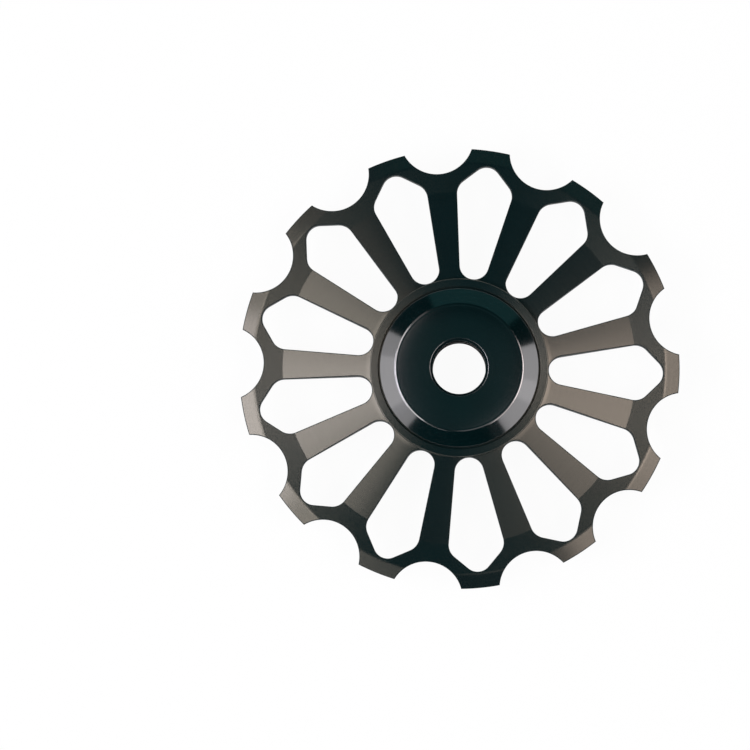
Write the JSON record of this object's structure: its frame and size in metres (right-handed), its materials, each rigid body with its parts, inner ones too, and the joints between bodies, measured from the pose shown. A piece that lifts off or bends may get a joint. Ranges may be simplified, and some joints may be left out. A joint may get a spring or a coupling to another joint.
{
  "type": "derailleur jockey wheel",
  "caption": "Spoked, toothed chain guide pulley in black anodised aluminium, free-spinning on a sealed ball bearing between two coned covers with a through bore.",
  "frame": {"origin": "on the axle bore's axis, in the middle plane of the teeth", "axes": "+Z along the axle bore, out of the front cover; +X through the middle of one tooth"},
  "size_m": [0.0501, 0.0504, 0.0082],
  "materials": {
    "anodised_wheel": "black anodised over fine turning marks, satin",
    "anodised_cover": "black anodised, smooth turned, semi-gloss",
    "bearing_steel": "ground bearing steel",
    "cage_nylon": "moulded natural nylon",
    "seal_rubber": "moulded nitrile rubber"
  },
  "bodies": {
    "core": {"inner_race": "bearing_steel", "front_cover": "anodised_cover", "rear_cover": "anodised_cover"},
    "wheel": {"toothed_wheel": "anodised_wheel", "outer_race": "bearing_steel", "front_seal": "seal_rubber", "rear_seal": "seal_rubber"},
    "cage": {"ball_cage": "cage_nylon", "ball_01": "bearing_steel", "ball_02": "bearing_steel", "ball_03": "bearing_steel", "ball_04": "bearing_steel", "ball_05": "bearing_steel", "ball_06": "bearing_steel", "ball_07": "bearing_steel", "ball_08": "bearing_steel", "ball_09": "bearing_steel", "ball_10": "bearing_steel"}
  },
  "joints": [
    {"name": "wheel_spin", "type": "hinge", "parent": "core", "child": "wheel", "pos_m": [0, 0, 0], "axis": [0, 0, 1], "continuous": true},
    {"name": "cage_orbit", "type": "hinge", "parent": "core", "child": "cage", "pos_m": [0, 0, 0], "axis": [0, 0, 1], "continuous": true}
  ],
  "couplings": [
    {"joint": "cage_orbit", "follows": "wheel_spin", "ratio": 0.58333}
  ]
}
